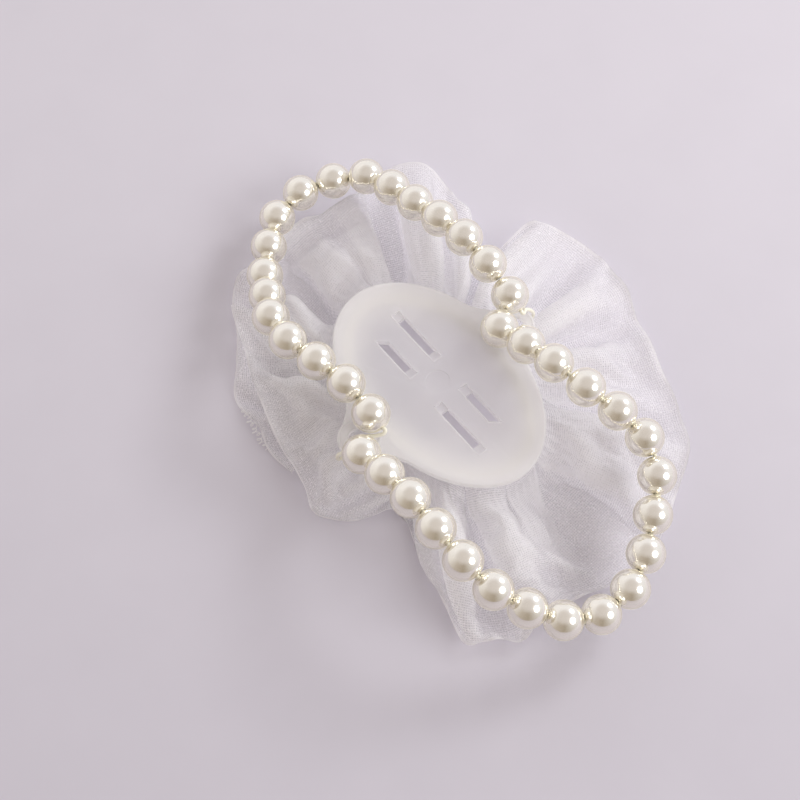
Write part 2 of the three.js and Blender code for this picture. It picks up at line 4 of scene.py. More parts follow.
import bmesh
import bpy
import numpy as np
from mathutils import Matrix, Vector


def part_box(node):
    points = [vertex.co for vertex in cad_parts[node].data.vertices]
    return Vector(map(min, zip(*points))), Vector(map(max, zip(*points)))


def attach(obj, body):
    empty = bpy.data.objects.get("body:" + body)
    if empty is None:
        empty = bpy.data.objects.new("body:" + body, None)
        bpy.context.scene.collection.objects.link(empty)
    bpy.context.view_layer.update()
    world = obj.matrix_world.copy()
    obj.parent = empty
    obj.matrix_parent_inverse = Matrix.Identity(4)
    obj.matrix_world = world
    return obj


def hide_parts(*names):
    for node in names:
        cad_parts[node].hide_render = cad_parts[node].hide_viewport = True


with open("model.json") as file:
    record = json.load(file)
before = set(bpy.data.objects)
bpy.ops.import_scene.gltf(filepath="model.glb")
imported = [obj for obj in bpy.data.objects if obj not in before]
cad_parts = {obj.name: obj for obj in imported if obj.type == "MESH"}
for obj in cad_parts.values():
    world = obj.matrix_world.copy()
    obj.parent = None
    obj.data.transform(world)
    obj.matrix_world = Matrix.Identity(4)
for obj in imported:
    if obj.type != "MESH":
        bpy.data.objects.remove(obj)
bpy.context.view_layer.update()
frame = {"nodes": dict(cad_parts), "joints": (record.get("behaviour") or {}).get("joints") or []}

# Sizes are in millimetres and angles in degrees unless a name says otherwise
MM = 0.001
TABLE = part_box("organza_ruffle")[0].z / MM
JOINTS = {joint["name"]: joint for joint in frame["joints"]}
PEARLS = sorted(node for node in frame["nodes"] if node.startswith("pearl_"))

# Camera of the photograph, over a square picture
CAMERA_PLACE = (107.4, -97.9, 277.6)
CAMERA_AIM = (-0.3515, 0.2871, -0.891)
CAMERA_LENS = 67.5
CAMERA_SENSOR = 36.0

# Lamps at one distance: name, azimuth, elevation, size in metres and radiance
LAMP_METRES = 0.8
LAMPS = [("key_right", 27, 37.5, 0.435, 4.1), ("key_far", 87, 35.5, 0.25, 9.6)]
TABLE_HALF_METRES = 1.5

# Room: tones round the table by direction, from +X towards +Y, and the ceiling's tone and soft edge
ROOM_TONES = [
    (6, (0.54, 0.50, 0.475)), (51, (0.70, 0.68, 0.70)), (96, (0.76, 0.75, 0.79)),
    (141, (0.82, 0.80, 0.83)), (186, (0.86, 0.83, 0.84)), (231, (0.74, 0.70, 0.68)),
    (276, (0.44, 0.38, 0.325)), (321, (0.31, 0.255, 0.19)), (366, (0.54, 0.50, 0.475)),
]
ROOM_CEILING = (0.58, 0.53, 0.51)
CEILING_EDGE = (0.6, 0.95)
ROOM_LEVEL = 1.07

# Plate
PLATE_LENGTH = 54.5
PLATE_WIDTH = 35.8
PLATE_THICKNESS = 1.7
PAD_HEIGHT = 0.3
PAD_INSET = 4.8
EDGE_ROUND = 0.4
FINE_ROUND = 0.02
DISH_DEPTH = 0.3
DISH_SLOPE = [(1.0, 0.0), (1.4, 0.07), (1.9, 0.17), (2.6, 0.25), (3.6, 0.3)]
DISH_FLOOR = PLATE_THICKNESS - DISH_DEPTH
EAR_SPACING = 41.8
EAR_RADIUS = 4.5
EAR_HOLE_RADIUS = 2.3
EAR_FILLET = 12.0
GATE_RADIUS = 2.6
GATE_DEPTH = 0.2
GATE_ROUND = 0.05
LIP_WIDTH = 0.6
LIP_HEIGHT = 0.2
MOULD_EDGE = 0.1
MOULD_EDGE_ANGLE = 40
SHARP_ANGLE = 35

# Slots of the plate: length and place of each pair, and the raised frame round each slot
LONG_SLOT = (14.0, -3.4)
SHORT_SLOT = (11.5, 3.1)
SLOT_WIDTH = 2.0
SLOT_START = 4.2
SLOT_STEP_LENGTH = 1.9
SLOT_STEP_DEPTH = 0.5
FRAME_WIDTH = 0.25
FRAME_HEIGHT = 0.12
FRAME_ROOT = 0.2
CUT_MARGIN = 1.0

# Points along the plate's curves, and how near they weld
OVAL_STEPS = 40
FILLET_STEPS = 16
FILLET_HALVINGS = 45
EAR_STEPS = 20
HOLE_STEPS = 64
PAD_STEPS = 120
DISH_STEPS = 160
GATE_STEPS = 48
ROUND_STEPS = 2
WELD_METRES = 1e-7

# Pearls and elastic
PEARL_RADIUS = 4.0
BORE_RADIUS = 0.5
BORE_EDGE_RADIANS = 0.6
BEAD_SIDES = 48
BEAD_PROFILE_POINTS = 33
CORD_RADIUS = 0.4
CORD_SIDES = 14
CORD_STEPS = 6
STRAIGHT_REACH = 3.88
SEAT_GAP = 0.3
KNOT_RADIUS = 1.1
KNOT_LENGTH = 2.0
KNOT_TURNS = 3
KNOT_TURN_STEPS = 12
KNOT_CORD_RADIUS = CORD_RADIUS * 0.8
UNDER_EAR = -(SEAT_GAP + KNOT_RADIUS)
HOLE_LEAN = 0.6

# Shares of ahead and aside by which the elastic bends round an end pearl
HUG_BENDS = [(0.85, 0.53), (0.45, 0.9)]

# Finishes: how shadows thin behind cloth and plate, where the plate's painted shade gives way to glue,
# # as a share of its half size, how far in from the free edge the selvedge fades, and the pitch of the
# weave
SHADOW_THINNING = 0.6
PLATE_CLEARNESS = 0.3
PLATE_THINNING = 0.1
SHADE_TO_GLUE_ZONE = (0.68, 1.02)
SELVEDGE = (0.8, 0.5)
WEAVE_PITCH = 0.5

# Organza ribbon
RIBBON_WIDTH = 38.0
RIBBON_LENGTH = 400.0
RIBBON_COLUMNS = 320
RIBBON_ROWS = 22
COLUMN_SPLITS = 3
ROW_SPLITS = 2
EDGE_SAMPLES = 4000
GATHER_INSET = 2.0
GATHER_X = PLATE_LENGTH / 2 - GATHER_INSET
GATHER_Y = PLATE_WIDTH / 2 - GATHER_INSET
HEADER_WIDTH = 2.5
HEADER_HEIGHT = -2.2
LAP_DROP = 0.5
LEAST_LIFT = 0.3
RIDGE_PLACE = 0.22

# Ripples of the cloth: their heights, the crests in a turn and phase of each kind of wave,
# and the height, waves and shift by which crests wander
GATHER_RIPPLE = 0.15
CLOTH_RIPPLE = 0.2
EDGE_RIPPLE = 0.5
CLOTH_WAVES = (31, 1.1)
EDGE_WAVES = (21, 2.0)
RIPPLE_WANDER = [(1.4, 3.1, 1.0), (0.9, 7.3, 2.3)]

# Settling of the cloth: shares by which a step mends lengths, bends and the held edge
SETTLE_STEPS = 700
PRESS_EVERY = 4
SAG = 0.004
THREAD_PULL = 0.2
SLOPE_PULL = 0.06
BEND_COLUMNS = 4
COLUMN_BEND_PULL = 0.012
BEND_ROWS = 3
ROW_BEND_PULL = 0.03
ROW_SLACK = 1.12
EDGE_HOLD = 0.5
EDGE_LIFT_HOLD = 0.05
TINY = 1e-9

# Room that the cloth leaves to the other pieces; the plate's is a share of its oval
CLOTH_CLEARANCE = 0.25
TABLE_CLEARANCE = 0.06
PLATE_SHELTER = 1.03
EAR_SHELTER = 2.0

# Free edge of the ribbon from its upper cut end, once round the plate, to the end tucked under the start:
# direction from the plate's middle, reach, lift above the table, swell half-way out, ridge beside the plate
RIBBON_EDGE = [
    (202.5, 51.5, 4.0, 0.5, 0.5), (213, 44, 4.5, 1.0, 0.0), (219, 41.5, 4.5, 0.0, -1.5),
    (227.5, 38.5, 5.0, 2.5, 2.0), (238, 36.2, 5.0, 2.5, 0.5), (250, 34.5, 5.0, 2.5, 0.0),
    (266.5, 34, 4.0, 3.0, 0.5), (274, 35.5, 2.0, 2.0, 0.0), (281.5, 33, 1.0, 1.5, 0.5),
    (292.5, 28.5, 2.0, 1.0, 0.0), (300.5, 25.5, 3.0, 0.0, -0.5), (305, 25.5, 0.5, -2.0, -1.0),
    (311, 30.5, 1.0, 1.0, 0.5), (318.5, 38, 1.5, 1.0, 0.5), (323, 46.5, 2.0, 2.0, 1.0),
    (326, 52.8, 3.0, 3.0, 1.5), (330, 53, 2.5, 2.0, 0.0), (334, 53.5, 5.0, -1.5, -2.5),
    (338, 55, 2.5, 1.5, 1.0), (344.5, 51.5, 6.0, 3.0, 1.5), (351.5, 51.5, 4.0, 1.0, 0.0),
    (360, 53, 2.5, -2.5, -0.5), (367, 54, 2.0, -4.0, -1.5), (374, 55, 3.0, -3.0, -2.0),
    (381, 54.5, 4.0, 0.0, 0.0), (386.5, 54, 4.0, 2.0, 1.0), (401, 54, 5.0, 1.5, 1.0),
    (409, 52.3, 3.5, -0.5, -2.0), (415, 51, 3.5, 0.5, 0.5), (421.5, 49.5, 4.0, 1.0, 0.5),
    (429.5, 49, 5.0, 1.5, 0.0), (437.5, 50, 3.5, 1.5, -1.0), (443.5, 50.5, 6.0, 3.5, 2.0),
    (449.5, 51, 6.0, 3.0, 1.5), (456.5, 53.5, 3.0, -0.5, -1.0), (464.5, 53, 4.0, 1.0, 0.5),
    (472.5, 51.5, 5.0, 2.0, 0.0), (475.5, 50, 6.0, 2.0, 0.0), (479.5, 43.5, 4.0, 0.0, 0.0),
    (482.5, 41.5, 1.0, -2.5, -1.0), (488.5, 44.5, 4.0, 1.0, 0.5), (493, 51, 4.0, 2.0, 0.5),
    (497, 56, 3.0, 2.5, 1.0), (501, 60.5, 4.5, 3.0, 1.0), (508, 63, 4.5, 2.0, 1.5),
    (512.5, 62, 3.0, -1.0, -0.5), (515.5, 60.5, 1.0, -5.0, -3.5), (518, 58.2, 4.0, 0.0, 1.0),
    (521, 56, 5.0, 3.0, 2.0), (526.5, 55, 4.5, 3.5, 1.5), (534.5, 55.5, 4.5, 2.5, 1.0),
    (541, 54.5, 4.5, 1.0, 1.2), (545, 54.8, 3.5, -2.0, -1.5), (548, 55.2, 2.0, -4.0, -3.0),
    (551, 55.5, 3.0, -1.0, 0.5), (554, 55, 4.0, 0.5, 2.0), (560.5, 52.5, 2.0, -0.5, 1.0),
    (566.5, 48.5, 1.5, -1.0, 0.0), (577, 45, 1.5, -1.0, 0.0), (588, 43.5, 1.0, -1.0, -0.5),
    (596.5, 38.5, 1.0, -1.0, -0.5), (604, 37.5, 1.0, -1.0, -0.5), (617, 34, 1.0, -1.0, -0.5),
]

# Sharp valleys between its petals: direction, half width in degrees and depth
RIBBON_CREASES = [
    (219, 6.0, 3.0), (261, 4.0, 1.5), (334, 4.0, 4.0), (352, 4.0, 1.5), (372, 11.0, 3.0),
    (409, 5.0, 1.5), (437, 6.0, 2.5), (458, 8.0, 1.5), (483, 4.0, 3.0), (515.5, 6.0, 4.5),
    (530, 3.0, 1.5), (548, 7.0, 4.5),
]
VALLEY_ROOT = 0.12
DEEP_VALLEY = 4.0
VALLEY_THINNING = 0.4
CREST_LAYERS = 0.4
CREST_PLACE = 1.25
CREST_SPREAD = 0.3
PLEAT_HEIGHT = 0.15
PLEAT_LAYERS = 0.15
PLEAT_WAVES = (46, 0.4)
SMALL_PLEAT_WAVES = (83, 1.7)

# Glue, stitches and the frayed thread
GLUE_STEPS = 220
GLUE_SIDES = 14
GLUE_LUMPS = 0.14
GLUE_WAVES = (23, 0.7)
SLOW_GLUE_WAVES = (9, 1.9)
STITCHES = 44
STITCH_STEPS = 4
STITCH_RISE = 0.1
STITCH_SLIMNESS = 0.7
FRAY_START = (-26.0, -32.3, -11.5)
FRAY_END = (-16.2, -34.1, -12.2)
FRAY_LOOPS = 11
FRAY_LOOP_STEPS = 8
FRAY_WIDTH = 0.55
FRAY_RADIUS = 0.09
FRAY_DRIFT = 0.6
FRAY_DRIFT_PACE = 0.37
FRAY_SLIP = 0.6
FRAY_RISE = 0.5
FRAY_RISE_PACE = 0.71


class Wire:
    """A node's output that takes part in Python arithmetic."""

    def __init__(self, graph, socket):
        self.graph = graph
        self.socket = socket

    def __add__(self, other):
        return self.graph.math("ADD", self, other)

    def __radd__(self, other):
        return self.graph.math("ADD", other, self)

    def __sub__(self, other):
        return self.graph.math("SUBTRACT", self, other)

    def __rsub__(self, other):
        return self.graph.math("SUBTRACT", other, self)

    def __mul__(self, other):
        return self.graph.math("MULTIPLY", self, other)

    def __rmul__(self, other):
        return self.graph.math("MULTIPLY", other, self)

    def __truediv__(self, other):
        return self.graph.math("DIVIDE", self, other)

    def __pow__(self, other):
        return self.graph.math("POWER", self, other)

    def step(self, low, high):
        """0 below low, 1 above high and a smooth rise between."""
        inputs = {"Value": self, "From Min": low, "From Max": high}
        return self.graph.node("ShaderNodeMapRange", {"interpolation_type": "SMOOTHSTEP"}, inputs)


class Graph:
    """A node tree that is filled from Python."""

    def __init__(self, tree):
        self.tree = tree

    def node(self, kind, settings=None, inputs=None, out=0):
        made = self.tree.nodes.new(kind)
        for name, value in (settings or {}).items():
            setattr(made, name, value)
        self.feed(made, inputs or {})
        return Wire(self, made.outputs[out])

    def feed(self, node, inputs):
        for key, value in inputs.items():
            if isinstance(value, Wire):
                self.tree.links.new(value.socket, node.inputs[key])
            else:
                node.inputs[key].default_value = value

    def ramp(self, value, stops):
        made = self.tree.nodes.new("ShaderNodeValToRGB")
        elements = made.color_ramp.elements
        for place, _ in stops[1:-1]:
            elements.new(place)
        for element, (place, colour) in zip(elements, stops):
            element.position = place
            element.color = colour
        self.feed(made, {"Fac": value})
        return Wire(self, made.outputs["Color"])

    def math(self, operation, *values):
        return self.node("ShaderNodeMath", {"operation": operation}, dict(enumerate(values)))

    def axes(self, place):
        """X, Y and Z of a vector."""
        parts = self.tree.nodes.new("ShaderNodeSeparateXYZ")
        self.feed(parts, {0: place})
        return [Wire(self, part) for part in parts.outputs]

    def mix(self, share, first, second):
        """Colour between two colours."""
        settings = {"data_type": "RGBA"}
        return self.node("ShaderNodeMix", settings, {0: share, 6: first, 7: second}, out=2)

    def blend(self, share, first, second):
        """Shader between two shaders."""
        return self.node("ShaderNodeMixShader", {}, {0: share, 1: first, 2: second})

    def noise(self, place, scale, detail):
        return self.node("ShaderNodeTexNoise", {}, {"Vector": place, "Scale": scale, "Detail": detail})

    def bump(self, height, distance, strength=1.0):
        inputs = {"Height": height, "Distance": distance, "Strength": strength}
        return self.node("ShaderNodeBump", {}, inputs)


def rgb(red, green, blue):
    return (red, green, blue, 1.0)


def new_finish(name, constants):
    """A material, its graph and its main shader with the constants set."""
    material = bpy.data.materials.new(name)
    material.use_nodes = True
    graph = Graph(material.node_tree)
    shader = material.node_tree.nodes["Principled BSDF"]
    graph.feed(shader, constants)
    return material, graph, shader


def object_place(graph):
    return graph.node("ShaderNodeTexCoord", out="Object")


# Finishes
def clouded(name, constants, noise, colours, roughness):
    """Material whose colour and roughness drift with a noise of a given scale and detail."""
    material, graph, shader = new_finish(name, constants)
    cloud = graph.noise(object_place(graph), *noise)
    colour = graph.mix(cloud, *colours)
    least, rise = roughness
    graph.feed(shader, {"Base Color": colour, "Roughness": least + rise * cloud})
    return material


def is_shadow(graph):
    """1 for rays that look for a lamp and 0 for the others."""
    return graph.node("ShaderNodeLightPath", out="Is Shadow Ray")


def cream_nacre():
    """Lustrous nacre: a soft, creamy mirror of the room within a rim that mirrors the table."""
    constants = {
        "Metallic": 0.88, "Specular Tint": rgb(1.0, 0.97, 0.84),
        "Sheen Weight": 1.0, "Sheen Roughness": 0.25, "Sheen Tint": rgb(1.0, 0.98, 0.82),
        "Coat Weight": 1.0, "Coat Roughness": 0.35, "Coat IOR": 1.9, "Coat Tint": rgb(1.0, 0.994, 0.955),
    }
    colours = rgb(0.96, 0.93, 0.865), rgb(0.98, 0.96, 0.92)
    return clouded("cream_nacre", constants, (160.0, 3.0), colours, (0.11, 0.06))


def ivory_elastic():
    colours = rgb(0.98, 0.95, 0.78), rgb(1.0, 0.98, 0.86)
    return clouded("ivory_elastic", {"Coat Weight": 0.4}, (900.0, 2.0), colours, (0.25, 0.2))


def frosted_plastic():
    """Milky plastic that lets some light through, with painted shade greying its middle and whiter round
    its edge where glue lies behind it.
    """
    material, graph, shader = new_finish("frosted_plastic", {"Specular IOR Level": 0.4})
    place = object_place(graph)
    x, y, _ = graph.axes(place)
    across = x / (PLATE_LENGTH / 2 * MM)
    along = y / (PLATE_WIDTH / 2 * MM)
    cloud = graph.noise(place, 110.0, 4.0)
    grain = graph.noise(place, 2600.0, 2.0)
    radius = (across * across + along * along) ** 0.5 + 0.35 * cloud
    # Painted shade: the middle is greyer for the dark hollow under the plate; the edge is whiter where glue
    # lies behind
    glue_rim_vs_shaded_middle = radius.step(*SHADE_TO_GLUE_ZONE)
    colour = graph.mix(glue_rim_vs_shaded_middle, rgb(0.88, 0.885, 0.91), rgb(0.99, 0.99, 0.985))
    colour = graph.mix(cloud.step(0.45, 0.75) * 0.5, colour, rgb(0.97, 0.96, 0.965))
    normal = graph.bump(grain, 0.00002, 0.4)
    graph.feed(shader, {"Base Color": colour, "Roughness": 0.42 + 0.16 * cloud, "Normal": normal})
    glow = graph.node("ShaderNodeBsdfTranslucent", {}, {"Color": rgb(0.99, 0.975, 0.975)})
    milky = graph.blend(0.62 - 0.14 * glue_rim_vs_shaded_middle, Wire(graph, shader.outputs[0]), glow)
    clearness = PLATE_CLEARNESS + PLATE_THINNING * is_shadow(graph)
    passed = graph.blend(clearness, milky, graph.node("ShaderNodeBsdfTransparent"))
    graph.feed(material.node_tree.nodes["Material Output"], {"Surface": passed})
    return material


def sheer_organza():
    """Open weave: light passes between its threads, and the threads scatter it both ways."""
    constants = {"Specular IOR Level": 0.9, "Sheen Weight": 1.0, "Sheen Roughness": 0.4}
    material, graph, shader = new_finish("sheer_organza", constants)
    uv = graph.node("ShaderNodeUVMap", {"uv_map": "Ribbon"})
    along, across, _ = graph.axes(uv)
    slub = graph.noise(uv, 0.9, 3.0)
    pitch = 2 * math.pi / WEAVE_PITCH
    warp = graph.math("SINE", along * pitch + 3.0 * slub).step(-0.1, 0.9)
    weft = graph.math("SINE", across * pitch + 2.0 * slub).step(-0.1, 0.9)
    threads = graph.math("MAXIMUM", 0.6 * warp, weft)
    selvedge = across.step(RIBBON_WIDTH - SELVEDGE[0], RIBBON_WIDTH - SELVEDGE[1])
    glint = graph.noise(uv, 2.2, 1.0)
    sparkle = glint.step(0.6, 0.72)
    layers = graph.node("ShaderNodeAttribute", {"attribute_name": "Layers"}, out="Fac")
    weave = 0.58 + 0.26 * threads + 0.14 * (slub - 0.5) + 0.4 * (glint - 0.5) + 0.3 * sparkle
    cover = layers * weave + 0.5 * selvedge
    cover = cover * (1.0 - SHADOW_THINNING * is_shadow(graph))
    colour = graph.mix(slub.step(0.3, 0.7), rgb(0.97, 0.96, 0.97), rgb(1.0, 0.99, 1.0))
    normal = graph.bump(threads + 0.6 * slub + 1.5 * glint, 0.00007, 0.8)
    roughness = 0.3 + 0.25 * slub - 0.15 * sparkle
    graph.feed(shader, {"Base Color": colour, "Roughness": roughness, "Normal": normal})
    glow = graph.node("ShaderNodeBsdfTranslucent", {}, {"Color": rgb(1.0, 0.99, 1.0), "Normal": normal})
    threads_lit = graph.blend(0.45, Wire(graph, shader.outputs[0]), glow)
    cloth = graph.blend(cover, graph.node("ShaderNodeBsdfTransparent"), threads_lit)
    graph.feed(material.node_tree.nodes["Material Output"], {"Surface": cloth})
    return material


def white_thread():
    colours = rgb(0.80, 0.79, 0.80), rgb(0.93, 0.92, 0.93)
    return clouded("white_thread", {"Sheen Weight": 0.3}, (2400.0, 2.0), colours, (0.55, 0.2))


def milky_glue():
    colours = rgb(0.82, 0.80, 0.73), rgb(0.90, 0.885, 0.84)
    return clouded("milky_glue", {"Coat Weight": 0.3}, (300.0, 2.0), colours, (0.3, 0.2))


def pale_table():
    """Pale surface with painted shade that darkens it towards the viewer."""
    material, graph, shader = new_finish("pale_table", {"Specular IOR Level": 0.25})
    mottle = graph.noise(object_place(graph), 60.0, 4.0)
    x, y, _ = graph.axes(object_place(graph))
    # Painted shade: the table's colour darkens towards the viewer
    near = (0.77 * x - 0.63 * y).step(-0.12, 0.16)
    colour = graph.mix(near + 0.3 * (mottle - 0.5), rgb(0.725, 0.70, 0.77), rgb(0.605, 0.58, 0.645))
    graph.feed(shader, {"Base Color": colour, "Roughness": 0.5 + 0.2 * mottle})
    return material


FINISH = {
    "pearl": cream_nacre(),
    "elastic": ivory_elastic(),
    "plate": frosted_plastic(),
    "organza": sheer_organza(),
    "thread": white_thread(),
    "glue": milky_glue(),
}


# Pieces
def add_object(name, data):
    piece = bpy.data.objects.new(name, data)
    bpy.context.scene.collection.objects.link(piece)
    return piece


def mesh_piece(name, points, faces, finish):
    """Mesh object from points in millimetres."""
    mesh = bpy.data.meshes.new(name)
    mesh.from_pydata([tuple(p) for p in np.asarray(points) * MM], [], faces)
    mesh.materials.append(finish)
    mesh.shade_smooth()
    return add_object(name, mesh)


def quads(rows, columns, loop_rows=False, loop_columns=False):
    """Faces of a grid of points, whose rows or columns can close to loops."""
    faces = []
    for j in range(rows if loop_rows else rows - 1):
        for i in range(columns if loop_columns else columns - 1):
            here = j * columns
            after = (j + 1) % rows * columns
            beside = (i + 1) % columns
            faces.append((here + i, after + i, after + beside, here + beside))
    return faces


def evaluated_mesh(carrier):
    evaluated = carrier.evaluated_get(bpy.context.evaluated_depsgraph_get())
    return bpy.data.meshes.new_from_object(evaluated)


def grown(name, tree, values, carrier=None):
    """Plain mesh object from a geometry node tree with its named inputs set."""
    carrier = carrier or add_object(name + "_carrier", bpy.data.meshes.new(name))
    modifier = carrier.modifiers.new("grow", "NODES")
    modifier.node_group = tree
    for item in tree.interface.items_tree:
        if item.in_out == "INPUT" and item.name in values:
            modifier[item.identifier] = values[item.name]
    mesh = evaluated_mesh(carrier)
    bpy.data.objects.remove(carrier)
    return add_object(name, mesh)


def fit(piece, body, slot, *nodes):
    """The piece stands for the nodes and moves with their body."""
    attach(piece, body)
    if nodes:
        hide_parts(*nodes)
    return piece


def new_tree(name, inputs):
    """Geometry node tree, its graph and a wire for each named input."""
    tree = bpy.data.node_groups.new(name, "GeometryNodeTree")
    tree.interface.new_socket("Geometry", in_out="OUTPUT", socket_type="NodeSocketGeometry")
    for label, kind in inputs.items():
        tree.interface.new_socket(label, in_out="INPUT", socket_type="NodeSocket" + kind)
    graph = Graph(tree)
    source = tree.nodes.new("NodeGroupInput")
    return tree, graph, {label: Wire(graph, source.outputs[label]) for label in inputs}


def close_tree(tree, graph, geometry, finish):
    """Ends a tree in plain, smooth geometry with its material."""
    real = graph.node("GeometryNodeRealizeInstances", {}, {"Geometry": geometry})
    coloured = graph.node("GeometryNodeSetMaterial", {}, {"Geometry": real, "Material": finish})
    graph.feed(tree.nodes.new("NodeGroupOutput"), {0: coloured})
    return tree


# Pearls: a bead profile swept round its bore
def bead_tree():
    inputs = {
        "Radius": "Float", "Bore": "Float", "Centre": "Vector", "Axis": "Vector", "Finish": "Material",
    }
    tree, graph, given = new_tree("bead", inputs)
    mouth = graph.math("ARCSINE", given["Bore"] / given["Radius"])
    ring = graph.node("GeometryNodeCurvePrimitiveCircle", {"mode": "RADIUS"}, {
        "Resolution": BEAD_SIDES, "Radius": given["Bore"]})
    level = graph.node("GeometryNodeSetCurveNormal", {"mode": "Z_UP"}, {"Curve": ring})
    bow = graph.node("GeometryNodeCurveArc", {"mode": "RADIUS"}, {
        "Resolution": BEAD_PROFILE_POINTS, "Radius": given["Radius"],
        "Start Angle": mouth - math.pi / 2, "Sweep Angle": math.pi - 2 * mouth})
    offset = graph.node("ShaderNodeCombineXYZ", {}, {"X": 0 - given["Bore"]})
    profile = graph.node("GeometryNodeTransform", {}, {"Geometry": bow, "Translation": offset})
    closed = graph.node("GeometryNodeSetSplineCyclic", {}, {"Geometry": profile, "Cyclic": True})
    bead = graph.node("GeometryNodeCurveToMesh", {}, {"Curve": level, "Profile Curve": closed})
    bend = graph.node("GeometryNodeInputMeshEdgeAngle")
    folded = graph.math("GREATER_THAN", bend, BORE_EDGE_RADIANS)
    soft = graph.node("GeometryNodeSetShadeSmooth", {"domain": "FACE"}, {"Geometry": bead})
    sharp = graph.node("GeometryNodeSetShadeSmooth", {"domain": "EDGE"}, {
        "Geometry": soft, "Selection": folded, "Shade Smooth": False})
    turn = graph.node("FunctionNodeAlignRotationToVector", {"axis": "Z"}, {"Vector": given["Axis"]})
    placed = graph.node("GeometryNodeTransform", {}, {
        "Geometry": sharp, "Translation": given["Centre"], "Rotation": turn})
    return close_tree(tree, graph, placed, given["Finish"])


def bore_of(node):
    """Centre and direction of a pearl's bore."""
    joint = JOINTS[node + "_spin"]
    return Vector(joint["pos_m"]) / MM, Vector(joint["axis"])


PEARL_CENTRES = [np.array(bore_of(node)[0]) for node in PEARLS]


def add_pearls():
    tree = bead_tree()
    for node in PEARLS:
        centre, axis = bore_of(node)
        values = {"Radius": PEARL_RADIUS * MM, "Bore": BORE_RADIUS * MM, "Centre": centre * MM,
                  "Axis": axis, "Finish": FINISH["pearl"]}
        fit(grown("nacre_" + node, tree, values), node, "pearl", node)


# Elastic: a round section swept along a path
def cord_tree():
    tree, graph, given = new_tree("cord", {"Path": "Geometry", "Radius": "Float", "Finish": "Material"})
    section = graph.node("GeometryNodeCurvePrimitiveCircle", {"mode": "RADIUS"}, {
        "Resolution": CORD_SIDES, "Radius": given["Radius"]})
    tube = graph.node("GeometryNodeCurveToMesh", {}, {
        "Curve": given["Path"], "Profile Curve": section, "Fill Caps": True})
    soft = graph.node("GeometryNodeSetShadeSmooth", {"domain": "FACE"}, {"Geometry": tube})
    return close_tree(tree, graph, soft, given["Finish"])


def swept(name, points, radius, tree, finish):
    """Tube along points in millimetres, on a smooth curve."""
    curve = bpy.data.curves.new(name, "CURVE")
    curve.dimensions = "3D"
    spline = curve.splines.new("BEZIER")
    spline.bezier_points.add(len(points) - 1)
    spline.resolution_u = CORD_STEPS
    for knot, point in zip(spline.bezier_points, points):
        knot.co = Vector(point) * MM
        knot.handle_left_type = "AUTO"
        knot.handle_right_type = "AUTO"
    carrier = add_object(name + "_path", curve)
    return grown(name, tree, {"Radius": radius * MM, "Finish": finish}, carrier)


def strand_path(letter):
    """Straight through each bore of a strand but those of its end pearls."""
    strung = [node for node in PEARLS if node.startswith("pearl_" + letter)]
    path = []
    for node in strung[1:-1]:
        centre, axis = bore_of(node)
        path += [centre - axis * STRAIGHT_REACH, centre + axis * STRAIGHT_REACH]
    return path


def ear_path(side, inner, outer):
    """From the inner pearl down the ear's hole, under its bar and up round its tip to the outer pearl."""
    hole = Vector((0, side * EAR_SPACING / 2, 0))

    def local(x, y, z):
        return hole + Vector((-side * x, -side * y, z))

    def lead(pearl, reach):
        centre, axis = bore_of(pearl[0])
        return centre + axis * (pearl[1] * reach)

    def hug(pearl, aim):
        """Points that lead the elastic out of a pearl and round it towards an aim."""
        centre, axis = bore_of(pearl[0])
        out = axis * pearl[1]
        toward = (aim - centre).normalized()
        near = PEARL_RADIUS + SEAT_GAP + CORD_RADIUS
        bends = [(out * ahead + toward * aside).normalized() for ahead, aside in HUG_BENDS]
        return [centre + way * near for way in [out, *bends]]

    tip = EAR_RADIUS + SEAT_GAP + CORD_RADIUS
    entry = local(0, 0, PLATE_THICKNESS + 2 * CORD_RADIUS)
    wrap = local(0, -tip, PLATE_THICKNESS)
    return [
        lead(inner, -STRAIGHT_REACH), lead(inner, STRAIGHT_REACH), *hug(inner, entry),
        local(0, 0, PLATE_THICKNESS / 2),
        local(0, -HOLE_LEAN * EAR_HOLE_RADIUS, UNDER_EAR),
        local(0, -tip, UNDER_EAR),
        local(0, -tip - CORD_RADIUS, PLATE_THICKNESS / 2),
        *reversed(hug(outer, wrap)),
        lead(outer, STRAIGHT_REACH), lead(outer, -STRAIGHT_REACH),
    ]


def knot_path():
    """Coil of a barrel knot round the elastic under ear 1."""
    low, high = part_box("elastic_knot")
    middle = (low + high) / 2 / MM
    coil_radius = KNOT_RADIUS - KNOT_CORD_RADIUS
    steps = KNOT_TURN_STEPS * KNOT_TURNS
    path = []
    for i in range(steps + 1):
        turn = 2 * math.pi * KNOT_TURNS * i / steps
        along = (i / steps - 0.5) * (KNOT_LENGTH - 2 * CORD_RADIUS)
        path.append(middle + Vector((coil_radius * math.cos(turn), along, coil_radius * math.sin(turn))))
    return path


def add_elastic():
    tree = cord_tree()
    finish = FINISH["elastic"]
    for letter in "ab":
        node = "elastic_strand_" + letter
        piece = swept("stretch_cord_" + letter, strand_path(letter), CORD_RADIUS, tree, finish)
        fit(piece, "strand_" + letter, "elastic", node)
    ear_1 = ear_path(-1, ("pearl_a01", -1), ("pearl_b19", 1))
    ear_2 = ear_path(1, ("pearl_b01", -1), ("pearl_a18", 1))
    fit(swept("stretch_cord_ear_1", ear_1, CORD_RADIUS, tree, finish), "base", "elastic", "elastic_ear_1")
    fit(swept("stretch_cord_ear_2", ear_2, CORD_RADIUS, tree, finish), "base", "elastic", "elastic_ear_2")
    knot = swept("barrel_knot", knot_path(), KNOT_CORD_RADIUS, tree, finish)
    fit(knot, "base", "elastic", "elastic_knot")


